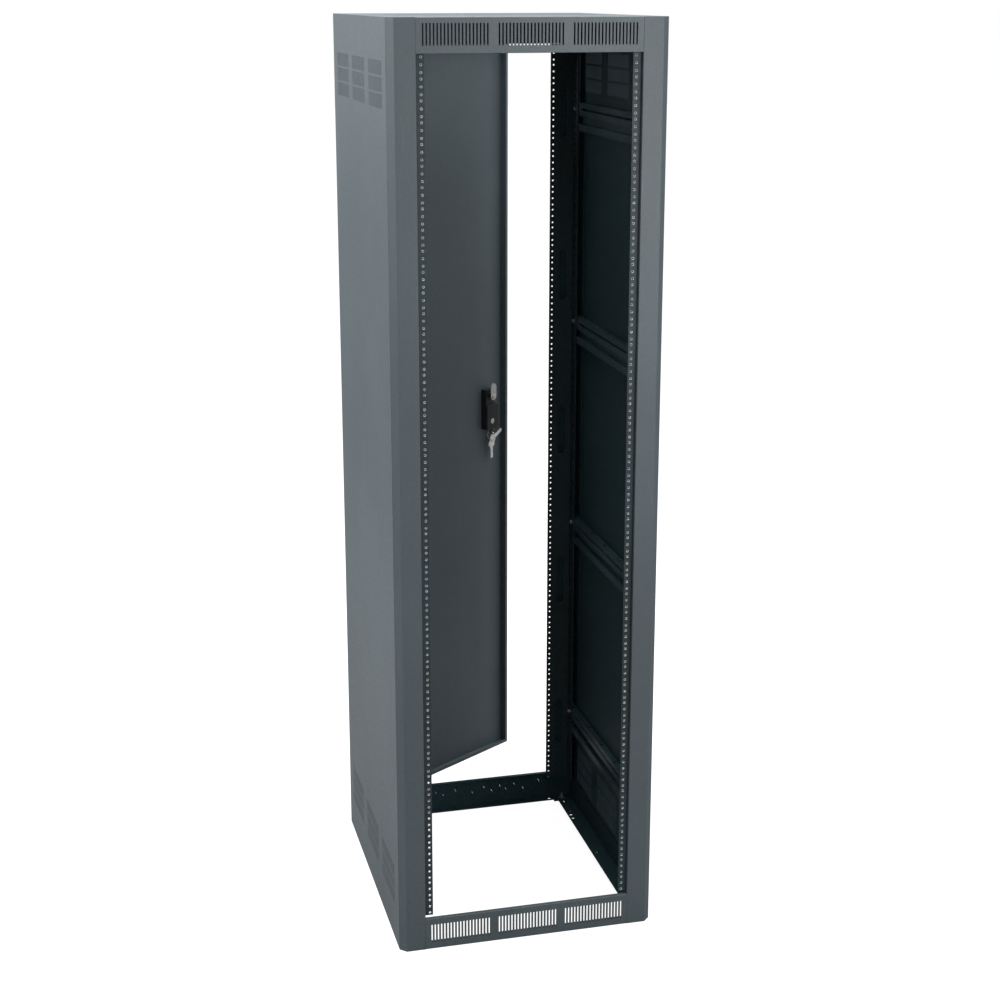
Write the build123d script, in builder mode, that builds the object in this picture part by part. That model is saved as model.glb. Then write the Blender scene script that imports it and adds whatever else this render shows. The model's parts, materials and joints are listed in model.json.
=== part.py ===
"""Free-standing 44-unit equipment rack cabinet with an open front and a hinged rear door.

Frame: +X to the right seen from the front, the front faces -Y, +Z up.
The origin is on the floor, under the middle of the cabinet without its open door.
"""
import os
from math import cos, radians, sin, tan

from build123d import *

# ---- driving dimensions, mm ----------------------------------------------------------
cabinet_width = 609.6
cabinet_depth = 698.5
rack_units = 44
unit_pitch = 44.45
sill_height = 77.0
header_height = 73.0
rail_end_gap = 5.6

frame_sheet = 2.0
skin_sheet = 1.5
rail_sheet = 3.0
front_bevel = 14.8
front_opening = 490.0
seam_gap = 0.3
fold_radius = 1.2
jamb_gap = 1.0

# front header and sill
opening_return = 10.0
sill_floor_flange = 34.0
header_top_flange = 25.0
header_slot_rise = 2.0
stile_side_return = 34.0
face_slot_width = 3.4
face_slot_height = 46.0
face_slot_pitch = 7.6
face_slots_in_group = 19
face_slot_group_pitch = 161.5

# side panels
side_slot_width = 2.2
side_slot_height = 30.0
side_slot_pitch = 7.6
side_slots_in_cell = 21
side_cell_rows = 3
side_cell_row_pitch = 34.5
side_cell_columns = 3
side_cell_column_pitch = 210.0
side_cell_centre_y = 5.0
upper_cells_below_top = 138.0
lower_cells_above_floor = 139.0
side_floor_flange = 20.0

# equipment rails
rack_clear_width = 450.85
hole_column_spacing = 465.1
rail_hole_diameter = 4.83
rail_side_hole_diameter = 7.2
rail_side_depth = 40.0
rail_side_hole_inset = 21.5
front_rail_setback = 9.2
rear_rail_from_stop = 19.75
lacing_slot_width = 17.6
lacing_slot_height = 126.0
lacing_slot_pitch = 405.6
lacing_slots = 5
lacing_slot_offset = 6.0
rail_holes_in_unit = (6.35, 22.225, 38.1)

# side braces
brace_depth = 13.8
brace_sheet = 1.5
brace_upper_hat = 32.0
brace_recess = 19.5
brace_lower_hat = 17.5
brace_recess_depth = 9.5
brace_hole_below_top = 15.5
brace_pitch_units = 12
first_brace_unit = 4
braces_per_side = 4
brace_front_inset = 18.25
brace_slot_height = 4.5
brace_slot_margin = 38.0
brace_slot_joint = 10.0
brace_middle_hole_diameter = 9.0
brace_notch_diameter = 9.0
brace_notch_inset = 6.3
brace_notch_pitch = 110.0
brace_notches = 4
brace_notch_centre_y = -35.0

# rear frame and base
door_depth = 25.0
door_proud = 4.0
door_stop_gap = 2.5
post_flange = 46.3
post_side_depth = 62.0
post_floor_gap = 2.0
base_flange_height = 16.0
base_flange_width = 41.3
base_web_height = 60.0
crossmember_height = 94.0
crossmember_flange = 20.0
anchor_hole_diameter = 12.7
anchor_inset_x = 24.3
anchor_rear_inset = 38.75
anchor_front_inset = 62.25
base_small_hole_diameter = 8.0
base_small_hole_insets = ((25.5, 99.25), (33.0, 120.75), (33.0, 141.75), (26.0, 344.55))
crossmember_hole_x = 238.0
big_knockout_width = 50.0
big_knockout_height = 36.0
big_knockout_x = 188.0
round_knockout_diameter = 27.0
round_knockout_x = (89.0, 129.0)
half_knockout_x = 40.0
knockout_height = 62.0
knockout_cut = 0.4
knockout_tie = 5.0
knockout_flat = 0.2

# top panel
top_slot_rows = 2
top_slot_row_pitch = 90.0
top_rear_flange = 18.0

# rear door, sizes along the closed door and in from its outer face
door_sheet = 1.5
door_lip = 8.5
door_edge_gap = 7.3
pivot_from_edge = 8.0
door_floor_gap = 46.0
door_top_gap = 50.0
door_rest_angle = 33.5

# hinge hardware
hinge_pin_diameter = 6.0
hinge_running_clearance = 0.05
bushing_diameter = 9.0
bushing_length = 5.0
bushing_flange_diameter = 12.0
bushing_flange = 1.5
hinge_plate = 3.0
hinge_plate_reach = 9.5
hinge_leg = 24.0
hinge_end_gap = 0.5
lower_pin_length = 20.0
pin_head = 3.0
pin_bracket_drop = 46.0
pin_bracket_leg = 12.0
pin_collar_diameter = 10.0
pin_collar = 2.5
pin_travel = 13.0
pin_engagement = 4.0
spring_wire = 1.2
spring_turns = 5
spring_side_gap = 0.5
spring_seat_gap = 0.2
spring_short_length = 13.0
pin_tail = 20.0
pin_pull_reach = 26.0
pin_pull_diameter = 5.6
pin_chamfer = 1.0
guide_margin = 2.0

# door latch
latch_from_free_edge = 66.0
latch_cam_height = 1089.0
latch_housing_width = 45.0
latch_upper_width = 32.0
latch_upper_rise = 17.0
latch_step_drop = 26.0
latch_total_height = 112.0
latch_upper_depth = 18.0
latch_lower_depth = 22.5
latch_plate = 4.0
latch_plate_margin = 5.0
latch_plate_corner = 6.0
latch_plate_chamfer = 1.0
housing_edge_radius = 1.5
latch_spindle_diameter = 10.0
latch_running_clearance = 0.3
cam_sheet = 2.5
cam_width = 21.0
cam_length = 36.0
cam_stop_gap = 1.2
handle_length = 58.0
handle_width = 15.0
handle_hub_diameter = 26.0
handle_thickness = 11.0
handle_gap = 0.6
handle_chamfer = 2.0
lock_diameter = 15.0
lock_proud = 1.5
lock_drop = 72.0
lock_chamfer = 0.8
lock_recess = 1.0
keyway_width = 2.2
keyway_height = 8.5
keyway_depth = 9.0
lug_thickness = 3.0
lug_width = 10.0
lug_drop = 11.0
lug_hole_diameter = 5.2
ring_wire = 1.8
ring_radius = 13.0
ring_door_gap = 1.6
key_sheet = 1.8
key_bow_diameter = 24.0
key_blade_width = 10.0
key_length = 50.0
key_hole_diameter = 6.0
key_edge = 1.5
key_notches = 5
key_notch_pitch = 5.0
key_notch_radius = 1.2
key_notch_change = 0.3
key_ring_clearance = 0.4
raised_key_angle = 122.0
key_gap = 1.2

# fasteners
screw_shank_diameter = 6.0
screw_head_diameter = 12.0
screw_head_height = 4.0
screw_past_nut = 1.0
nut_across_flats = 10.0
nut_height = 5.0
ground_stud_rise = 7.0
washer_diameter = 15.0
washer_thickness = 1.2

# ---- derived places -------------------------------------------------------------------
half_width = cabinet_width / 2
half_opening = front_opening / 2
front = -cabinet_depth / 2
rear = cabinet_depth / 2
rail_length = rack_units * unit_pitch
rail_bottom = sill_height + rail_end_gap
rail_top = rail_bottom + rail_length
header_bottom = rail_top
cabinet_height = header_bottom + header_height

skin_inner = half_width - skin_sheet
web_inner = skin_inner - frame_sheet
stop_plane = rear + door_proud - door_depth - door_stop_gap
post_edge = web_inner - post_flange
brace_face = web_inner - brace_depth
brace_rear = stop_plane - frame_sheet
brace_front = front + brace_front_inset
brace_height = brace_upper_hat + brace_recess + brace_lower_hat
brace_hole_levels = [
    rail_bottom + (first_brace_unit + brace_pitch_units * level) * unit_pitch + rail_holes_in_unit[1]
    for level in range(braces_per_side)
]
panel_front = front + front_bevel + skin_sheet + seam_gap
base_front = front + front_bevel + frame_sheet
base_edge = web_inner - base_flange_width
base_flange_top = base_flange_height + frame_sheet
anchor_x = web_inner - anchor_inset_x
anchor_rear = stop_plane - anchor_rear_inset
anchor_front = front + anchor_front_inset
ground_stud_x = web_inner - 27.0
ground_stud_y = stop_plane - 12.0

rail_inner = rack_clear_width / 2
hole_column = hole_column_spacing / 2
front_rail_face = front + front_rail_setback
rear_rail_face = stop_plane - rear_rail_from_stop
lacing_slot_x = (rail_inner + brace_face - rail_sheet) / 2 + lacing_slot_offset

# door pivot, and door frame: x along the door from the pivot, y outwards, z up
pivot_x = -(skin_inner - door_edge_gap - pivot_from_edge)
pivot_y = rear + door_proud - door_depth / 2
door_angle = radians(door_rest_angle)
door_frame = Plane(
    origin=(pivot_x, pivot_y, 0),
    x_dir=(cos(door_angle), sin(door_angle), 0),
    z_dir=(0, 0, 1),
)
door_start = -pivot_from_edge
door_end = 2 * (skin_inner - door_edge_gap) - pivot_from_edge
door_outer = door_depth / 2
door_inner = door_outer - door_sheet
door_bottom = door_floor_gap
door_top = cabinet_height - door_top_gap
latch_x = door_end - latch_from_free_edge
latch_left = latch_x - latch_upper_width / 2
latch_right = latch_left + latch_housing_width
latch_centre_x = (latch_left + latch_right) / 2
housing_top = latch_cam_height + latch_upper_rise
housing_bottom = housing_top - latch_total_height
cam_back = -door_depth / 2 - door_stop_gap - frame_sheet - cam_stop_gap
lock_height = latch_cam_height - lock_drop
lug_hole_height = housing_bottom - lug_drop + lug_width / 2
ring_middle = door_inner - ring_radius - ring_wire / 2 - ring_door_gap
ring_hang = lug_hole_diameter / 2 - ring_wire / 2 - key_ring_clearance
ring_height = lug_hole_height - ring_radius - ring_hang
inward = Axis(door_frame.origin, (sin(door_angle), -cos(door_angle), 0))

# hinge line
lower_plate = door_bottom - bushing_flange - hinge_end_gap - hinge_plate
upper_plate = door_top + bushing_flange + hinge_end_gap
guide_height = door_top - door_sheet - pin_bracket_drop
collar_bottom = guide_height + hinge_plate + spring_short_length + pin_travel
pin_tip = upper_plate + hinge_plate + pin_engagement


def door_level(height):
    """Horizontal plane in the door's frame, at a height above the floor."""
    return door_frame.offset(height)


def door_face(y):
    """Upright plane parallel to the door, seen from inside, y out from the pivot line."""
    outward = Vector(-sin(door_angle), cos(door_angle), 0)
    return Plane(
        origin=door_frame.origin + outward * y,
        x_dir=door_frame.x_dir,
        z_dir=outward * -1,
    )


def save(part, name):
    """Label a finished piece and write its STEP file."""
    part.label = name
    export_step(part, f"parts/{name}.step")


def save_pair(part, name):
    """Write a right-hand piece and its mirror image on the left."""
    save(part, f"right_{name}")
    with BuildPart() as opposite:
        mirror(part, about=Plane.YZ)
    save(opposite.part, f"left_{name}")


def folded_sheet(points, thickness, side=Side.LEFT):
    """Closed outline of a folded sheet, drawn from one face's line. Used inside BuildSketch."""
    with BuildLine() as outline:
        Polyline(*points)
        offset(amount=thickness, side=side, kind=Kind.INTERSECTION)
    make_face(outline.edges())


# ---- front frame ----------------------------------------------------------------------
def cut_face_slots(middle_height):
    """Three groups of upright slots through the front face. Used inside BuildPart."""
    with BuildSketch(Plane.XZ.offset(-front - 2 * frame_sheet)) as slots:
        with Locations((0, middle_height)):
            with GridLocations(face_slot_group_pitch, 0, 3, 1):
                with GridLocations(face_slot_pitch, 0, face_slots_in_group, 1):
                    SlotOverall(face_slot_height, face_slot_width, rotation=90)
    extrude(slots.sketch, amount=4 * frame_sheet, mode=Mode.SUBTRACT)


def make_front_header():
    top = cabinet_height
    with BuildPart() as header:
        with BuildSketch(Plane.YZ.offset(-half_opening)):
            folded_sheet(
                [
                    (front + opening_return, header_bottom),
                    (front, header_bottom),
                    (front, top),
                    (front + header_top_flange, top),
                ],
                frame_sheet,
                Side.RIGHT,
            )
        extrude(amount=front_opening)
        cut_face_slots((header_bottom + top) / 2 + header_slot_rise)
        folds = header.edges().filter_by(Axis.X).group_by(Axis.Y)[0]
        fillet(folds, fold_radius)
    save(header.part, "front_header")


def make_front_sill():
    with BuildPart() as sill:
        with BuildSketch(Plane.YZ.offset(-half_opening)):
            folded_sheet(
                [
                    (front + opening_return, sill_height),
                    (front, sill_height),
                    (front, 0),
                    (front + sill_floor_flange, 0),
                ],
                frame_sheet,
            )
        extrude(amount=front_opening)
        cut_face_slots(sill_height / 2)
        folds = sill.edges().filter_by(Axis.X).group_by(Axis.Y)[0]
        fillet(folds, fold_radius)
    save(sill.part, "front_sill")


def make_front_stiles():
    jamb = front_rail_setback - jamb_gap
    with BuildPart() as stile:
        with BuildSketch():
            folded_sheet(
                [
                    (half_opening, front + jamb),
                    (half_opening, front),
                    (half_width - front_bevel, front),
                    (half_width, front + front_bevel),
                    (skin_inner, front + front_bevel + skin_sheet),
                    (skin_inner, front + stile_side_return),
                ],
                frame_sheet,
            )
        extrude(amount=cabinet_height)
        corners = stile.edges().filter_by(Axis.Z).group_by(Axis.Y)[0]
        fillet(corners, fold_radius)
    save_pair(stile.part, "front_stile")


# ---- skins ----------------------------------------------------------------------------
def make_side_panels():
    with BuildPart() as panel:
        with BuildSketch(Plane.YZ.offset(skin_inner)):
            with Locations(((panel_front + rear) / 2, cabinet_height / 2)):
                Rectangle(rear - panel_front, cabinet_height)
        extrude(amount=skin_sheet)
        with BuildSketch():
            flange_front = front + stile_side_return + seam_gap
            flange_rear = stop_plane
            with Locations((skin_inner, (flange_front + flange_rear) / 2)):
                Rectangle(side_floor_flange, flange_rear - flange_front, align=(Align.MAX, Align.CENTER))
        extrude(amount=skin_sheet)
        with BuildSketch(Plane.YZ.offset(skin_inner - skin_sheet)):
            for centre_z in (lower_cells_above_floor, cabinet_height - upper_cells_below_top):
                with Locations((side_cell_centre_y, centre_z)):
                    with GridLocations(
                        side_cell_column_pitch, side_cell_row_pitch, side_cell_columns, side_cell_rows
                    ):
                        with GridLocations(side_slot_pitch, 0, side_slots_in_cell, 1):
                            Rectangle(side_slot_width, side_slot_height)
        extrude(amount=3 * skin_sheet, mode=Mode.SUBTRACT)
    save_pair(panel.part, "side_panel")


def make_top_panel():
    back = front + header_top_flange + seam_gap
    behind_face = front + frame_sheet + seam_gap
    stile_side = half_opening + frame_sheet + seam_gap
    bevel_inside = half_width - front_bevel - frame_sheet * tan(radians(22.5)) - seam_gap
    top = cabinet_height
    with BuildPart() as panel:
        with BuildSketch(Plane.XY.offset(top - frame_sheet)):
            with BuildLine():
                Polyline(
                    (0, back),
                    (stile_side, back),
                    (stile_side, behind_face),
                    (bevel_inside, behind_face),
                    (web_inner - seam_gap, behind_face + web_inner - seam_gap - bevel_inside),
                    (web_inner - seam_gap, front + stile_side_return + seam_gap),
                    (skin_inner, front + stile_side_return + seam_gap),
                    (skin_inner, rear),
                    (0, rear),
                    close=True,
                )
            make_face()
            mirror(about=Plane.YZ)
        extrude(amount=frame_sheet)
        with BuildSketch(Plane.XY.offset(top - frame_sheet)):
            with Locations((0, rear)):
                Rectangle(2 * skin_inner, frame_sheet, align=(Align.CENTER, Align.MAX))
        extrude(amount=-top_rear_flange)
        with BuildSketch(Plane.XY.offset(top - 2 * frame_sheet)):
            with GridLocations(face_slot_group_pitch, top_slot_row_pitch, 3, top_slot_rows):
                with GridLocations(face_slot_pitch, 0, face_slots_in_group, 1):
                    SlotOverall(face_slot_height, face_slot_width, rotation=90)
        extrude(amount=3 * frame_sheet, mode=Mode.SUBTRACT)
    save(panel.part, "top_panel")


# ---- rear frame and base --------------------------------------------------------------
def make_rear_posts():
    with BuildPart() as post:
        with BuildSketch(Plane.XY.offset(post_floor_gap)):
            folded_sheet(
                [
                    (post_edge, stop_plane),
                    (skin_inner, stop_plane),
                    (skin_inner, stop_plane - post_side_depth),
                ],
                frame_sheet,
                Side.RIGHT,
            )
        extrude(amount=cabinet_height - frame_sheet - post_floor_gap)
    save_pair(post.part, "rear_post")


def make_base_channels():
    rear_end = stop_plane - frame_sheet
    length = rear_end - base_front
    with BuildPart() as channel:
        with BuildSketch(Plane.XZ.offset(-rear_end)):
            folded_sheet(
                [
                    (web_inner, base_flange_height + base_web_height),
                    (web_inner, base_flange_height),
                    (base_edge, base_flange_height),
                ],
                frame_sheet,
                Side.RIGHT,
            )
        extrude(amount=length)
        with BuildSketch(Plane.XY.offset(base_flange_height - frame_sheet)):
            with Locations((anchor_x, anchor_rear), (anchor_x, anchor_front)):
                Circle(anchor_hole_diameter / 2)
        extrude(amount=3 * frame_sheet, mode=Mode.SUBTRACT)
        with BuildSketch(Plane.XY.offset(base_flange_height - frame_sheet)):
            with Locations(*[(web_inner - x, stop_plane - y) for x, y in base_small_hole_insets]):
                Circle(base_small_hole_diameter / 2)
        extrude(amount=3 * frame_sheet, mode=Mode.SUBTRACT)
    save_pair(channel.part, "base_channel")


def ring_knockout(x, width, height):
    """Cut a ring around a knock-out, left joined by two ties. Used inside BuildPart."""
    corner = (min(width, height) - knockout_flat) / 2
    inside = 2 * knockout_cut
    with BuildSketch(Plane.XZ.offset(-stop_plane - frame_sheet)) as cut:
        with Locations((x, knockout_height)):
            RectangleRounded(width, height, corner)
            RectangleRounded(width - inside, height - inside, corner - knockout_cut, mode=Mode.SUBTRACT)
            Rectangle(knockout_tie, height + knockout_tie, mode=Mode.SUBTRACT)
    extrude(cut.sketch, amount=3 * frame_sheet, mode=Mode.SUBTRACT)


def make_rear_crossmembers():
    front_edge = stop_plane - crossmember_flange
    with BuildPart() as base:
        with BuildSketch(Plane.YZ.offset(-post_edge)):
            folded_sheet(
                [
                    (stop_plane - opening_return, crossmember_height),
                    (stop_plane, crossmember_height),
                    (stop_plane, base_flange_height),
                    (front_edge, base_flange_height),
                ],
                frame_sheet,
                Side.RIGHT,
            )
        extrude(amount=2 * post_edge)
        ring_knockout(big_knockout_x, big_knockout_width, big_knockout_height)
        ring_knockout(-big_knockout_x, big_knockout_width, big_knockout_height)
        for x in round_knockout_x:
            ring_knockout(x, round_knockout_diameter, round_knockout_diameter)
            ring_knockout(-x, round_knockout_diameter, round_knockout_diameter)
        ring_knockout(half_knockout_x, big_knockout_height, round_knockout_diameter)
        ring_knockout(-half_knockout_x, big_knockout_height, round_knockout_diameter)
        with BuildSketch(Plane.XY.offset(base_flange_height - frame_sheet)):
            with Locations((0, stop_plane - crossmember_flange / 2)):
                with GridLocations(2 * crossmember_hole_x, 0, 2, 1):
                    Circle(base_small_hole_diameter / 2)
        extrude(amount=3 * frame_sheet, mode=Mode.SUBTRACT)
    save(base.part, "rear_base_crossmember")

    underside = cabinet_height - frame_sheet
    with BuildPart() as top:
        with BuildSketch(Plane.YZ.offset(-post_edge)):
            folded_sheet(
                [
                    (stop_plane - opening_return, header_bottom),
                    (stop_plane, header_bottom),
                    (stop_plane, underside),
                    (front_edge, underside),
                ],
                frame_sheet,
            )
        extrude(amount=2 * post_edge)
    save(top.part, "rear_top_crossmember")


# ---- side braces ----------------------------------------------------------------------
def make_braces():
    names = ("lower", "lower_middle", "upper_middle", "upper")
    recess_back = brace_face + brace_recess_depth
    length = brace_rear - brace_front
    rear_hole_y = rear_rail_face - rail_side_hole_inset
    front_hole_y = front_rail_face + rail_side_hole_inset
    slot_rear = rear_hole_y - brace_slot_margin
    slot_front = front_hole_y + brace_slot_margin
    slot_middle = (slot_rear + slot_front) / 2
    for name, level in zip(names, brace_hole_levels):
        top = level + brace_hole_below_top
        upper_end = top - brace_upper_hat
        lower_start = upper_end - brace_recess
        bottom = top - brace_height
        with BuildPart() as brace:
            with BuildSketch(Plane.XZ.offset(-brace_rear)):
                folded_sheet(
                    [
                        (web_inner, top),
                        (brace_face, top),
                        (brace_face, upper_end),
                        (recess_back, upper_end),
                        (recess_back, lower_start),
                        (brace_face, lower_start),
                        (brace_face, bottom),
                        (web_inner, bottom),
                    ],
                    brace_sheet,
                )
            extrude(amount=length)
            with BuildSketch(Plane.YZ.offset(brace_face - brace_sheet)):
                with Locations((rear_hole_y, level), (front_hole_y, level)):
                    Circle(rail_side_hole_diameter / 2)
                half_slot = (slot_rear - slot_front - brace_slot_joint) / 2
                with Locations(
                    (slot_middle + (half_slot + brace_slot_joint) / 2, level),
                    (slot_middle - (half_slot + brace_slot_joint) / 2, level),
                ):
                    SlotOverall(half_slot, brace_slot_height)
                with Locations((slot_middle, level)):
                    Circle(brace_middle_hole_diameter / 2)
            extrude(amount=3 * brace_sheet, mode=Mode.SUBTRACT)
            with BuildSketch(Plane.XY.offset(top - 2 * brace_sheet)):
                with Locations((brace_face + brace_notch_inset, brace_notch_centre_y)):
                    with GridLocations(0, brace_notch_pitch, 1, brace_notches):
                        Circle(brace_notch_diameter / 2)
            extrude(amount=3 * brace_sheet, mode=Mode.SUBTRACT)
        save_pair(brace.part, f"{name}_brace")


# ---- equipment rails ------------------------------------------------------------------
def make_rail(face_y, inward):
    """One right-hand rail; inward is +1 for a front rail and -1 for a rear rail."""
    unit_bottoms = [rail_bottom + unit_pitch * unit for unit in range(rack_units)]
    hole_heights = [bottom + rise for bottom in unit_bottoms for rise in rail_holes_in_unit]
    side_hole_y = face_y + inward * rail_side_hole_inset
    turn = Side.LEFT if inward > 0 else Side.RIGHT
    with BuildPart() as rail:
        with BuildSketch(Plane.XY.offset(rail_bottom)):
            folded_sheet(
                [
                    (rail_inner, face_y),
                    (brace_face, face_y),
                    (brace_face, face_y + inward * rail_side_depth),
                ],
                rail_sheet,
                turn,
            )
        extrude(amount=rail_length)
        with BuildSketch(Plane.XZ.offset(-face_y - 2 * rail_sheet)):
            with Locations(*[(hole_column, height) for height in hole_heights]):
                Circle(rail_hole_diameter / 2)
            with Locations((lacing_slot_x, rail_bottom + rail_length / 2)):
                with GridLocations(0, lacing_slot_pitch, 1, lacing_slots):
                    SlotOverall(lacing_slot_height, lacing_slot_width, rotation=90)
        extrude(amount=4 * rail_sheet, mode=Mode.SUBTRACT)
        with BuildSketch(Plane.YZ.offset(brace_face - 2 * rail_sheet)):
            with Locations(*[(side_hole_y, height) for height in hole_heights]):
                Circle(rail_side_hole_diameter / 2)
        extrude(amount=3 * rail_sheet, mode=Mode.SUBTRACT)
    return rail.part


def make_rails():
    save_pair(make_rail(front_rail_face, 1), "front_rail")
    save_pair(make_rail(rear_rail_face, -1), "rear_rail")


def make_rail_fasteners(name, hole_y):
    """Screws and nuts that hold a pair of rails to the braces."""
    head_face = brace_face - rail_sheet
    nut_face = brace_face + brace_sheet
    shank_end = nut_face + nut_height + screw_past_nut
    with BuildPart() as screws:
        with BuildSketch(Plane.YZ.offset(head_face)):
            with Locations(*[(hole_y, level) for level in brace_hole_levels]):
                Circle(screw_shank_diameter / 2)
        extrude(amount=shank_end - head_face)
        with BuildSketch(Plane.YZ.offset(head_face)):
            with Locations(*[(hole_y, level) for level in brace_hole_levels]):
                RegularPolygon(screw_head_diameter / 2, 6)
        extrude(amount=-screw_head_height)
        mirror(about=Plane.YZ)
    save(screws.part, f"{name}_rail_screws")
    with BuildPart() as nuts:
        with BuildSketch(Plane.YZ.offset(nut_face)):
            with Locations(*[(hole_y, level) for level in brace_hole_levels]):
                RegularPolygon(nut_across_flats / 2, 6, major_radius=False)
                Circle(screw_shank_diameter / 2, mode=Mode.SUBTRACT)
        extrude(amount=nut_height)
        mirror(about=Plane.YZ)
    save(nuts.part, f"{name}_rail_nuts")


def make_ground_stud():
    """Earthing stud, washer and nut on the right base flange, as one fastener."""
    washer_top = base_flange_top + washer_thickness
    with BuildPart() as stud:
        with BuildSketch(Plane.XY.offset(base_flange_top)):
            with Locations((ground_stud_x, ground_stud_y)):
                Circle(washer_diameter / 2)
        extrude(amount=washer_thickness)
        with BuildSketch(Plane.XY.offset(washer_top)):
            with Locations((ground_stud_x, ground_stud_y)):
                RegularPolygon(screw_head_diameter / 2, 6)
        extrude(amount=nut_height)
        with BuildSketch(Plane.XY.offset(washer_top + nut_height)):
            with Locations((ground_stud_x, ground_stud_y)):
                Circle(screw_shank_diameter / 2)
        extrude(amount=ground_stud_rise)
    save(stud.part, "ground_stud")


# ---- rear door ------------------------------------------------------------------------
def make_door_panel():
    low = door_bottom
    lip_y = -door_outer
    with BuildPart() as door:
        with BuildSketch(door_level(low)):
            with Locations(((door_start + door_end) / 2, 0)):
                Rectangle(door_end - door_start, door_depth)
        extrude(amount=door_top - low)
        fillet(door.edges().filter_by(Axis.Z), door_sheet)
        with BuildSketch(door_level(low + door_sheet)):
            with Locations(((door_start + door_end) / 2, 0)):
                Rectangle(door_end - door_start - 2 * door_sheet, door_depth - 2 * door_sheet)
        extrude(amount=door_top - low - 2 * door_sheet, mode=Mode.SUBTRACT)
        with BuildSketch(door_face(lip_y + 2 * door_sheet)):
            with Locations(((door_start + door_end) / 2, (low + door_top) / 2)):
                Rectangle(door_end - door_start - 2 * door_lip, door_top - low - 2 * door_lip)
        extrude(amount=3 * door_sheet, mode=Mode.SUBTRACT)
        with BuildSketch(door_level(low - door_sheet)):
            Circle(bushing_diameter / 2)
        extrude(amount=3 * door_sheet, mode=Mode.SUBTRACT)
        with BuildSketch(door_level(door_top - 2 * door_sheet)):
            Circle(bushing_diameter / 2)
        extrude(amount=3 * door_sheet, mode=Mode.SUBTRACT)
        with BuildSketch(door_face(door_outer + door_sheet)):
            with Locations((latch_centre_x, (housing_top + housing_bottom) / 2)):
                Rectangle(
                    latch_housing_width - 2 * latch_plate_margin,
                    latch_total_height - 2 * latch_plate_margin,
                )
        extrude(amount=3 * door_sheet, mode=Mode.SUBTRACT)
    save(door.part, "door_panel")


def make_bushing(name, edge_height, direction):
    """Flanged bushing in the door's edge; the flange is outside, direction is +1 at the top."""
    bore = hinge_pin_diameter / 2 + hinge_running_clearance
    with BuildPart() as bushing:
        with BuildSketch(door_level(edge_height - direction * bushing_length)):
            Circle(bushing_diameter / 2)
            Circle(bore, mode=Mode.SUBTRACT)
        extrude(amount=direction * bushing_length)
        with BuildSketch(door_level(edge_height)):
            Circle(bushing_flange_diameter / 2)
            Circle(bore, mode=Mode.SUBTRACT)
        extrude(amount=direction * bushing_flange)
    save(bushing.part, name)


def make_frame_hinge(name, plate_height, leg_start, hole_diameter):
    """Angle bracket on the left rear post that carries one end of the hinge line."""
    with BuildPart() as bracket:
        with BuildSketch(Plane.XY.offset(plate_height)):
            with Locations((pivot_x, stop_plane)):
                Rectangle(
                    2 * hinge_plate_reach,
                    pivot_y - stop_plane + hinge_plate_reach,
                    align=(Align.CENTER, Align.MIN),
                )
        extrude(amount=hinge_plate)
        with BuildSketch(Plane.XY.offset(leg_start)):
            with Locations((pivot_x, stop_plane)):
                Rectangle(2 * hinge_plate_reach, hinge_plate, align=(Align.CENTER, Align.MIN))
        extrude(amount=hinge_leg)
        fillet(bracket.edges().filter_by(Axis.Z).group_by(Axis.Y)[-1], hinge_plate)
        with BuildSketch(Plane.XY.offset(plate_height - hinge_plate)):
            with Locations((pivot_x, pivot_y)):
                Circle(hole_diameter / 2)
        extrude(amount=3 * hinge_plate, mode=Mode.SUBTRACT)
    save(bracket.part, name)


def make_frame_hinges():
    make_frame_hinge(
        "lower_hinge_bracket",
        lower_plate,
        lower_plate + hinge_plate - hinge_leg,
        hinge_pin_diameter,
    )
    make_frame_hinge(
        "upper_hinge_bracket",
        upper_plate,
        upper_plate,
        hinge_pin_diameter + 2 * hinge_running_clearance,
    )


def make_lower_pin():
    with BuildPart() as pin:
        with BuildSketch(Plane.XY.offset(lower_plate - pin_head)):
            with Locations((pivot_x, pivot_y)):
                Circle(pin_collar_diameter / 2)
        extrude(amount=pin_head)
        with BuildSketch(Plane.XY.offset(lower_plate)):
            with Locations((pivot_x, pivot_y)):
                Circle(hinge_pin_diameter / 2)
        extrude(amount=lower_pin_length)
        chamfer(pin.faces().sort_by(Axis.Z)[-1].edges(), pin_chamfer)
    save(pin.part, "lower_hinge_pin")


def make_pin_guide():
    """Guide inside the door for the lower end of the retractable pin."""
    inner_edge = door_start + door_sheet
    plate_length = pivot_from_edge - door_sheet + pin_bracket_leg
    plate_width = door_inner + bushing_diameter / 2 + guide_margin
    with BuildPart() as guide:
        with BuildSketch(door_level(guide_height)):
            with Locations((inner_edge, door_inner)):
                Rectangle(plate_length, plate_width, align=(Align.MIN, Align.MAX))
        extrude(amount=hinge_plate)
        with BuildSketch(door_level(guide_height - pin_tail)):
            with Locations((inner_edge, door_inner)):
                Rectangle(plate_length, frame_sheet, align=(Align.MIN, Align.MAX))
        extrude(amount=pin_tail)
        with BuildSketch(door_level(guide_height - hinge_plate / 2)):
            Circle(hinge_pin_diameter / 2 + hinge_running_clearance)
        extrude(amount=2 * hinge_plate, mode=Mode.SUBTRACT)
    save(guide.part, "hinge_pin_guide")


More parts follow.
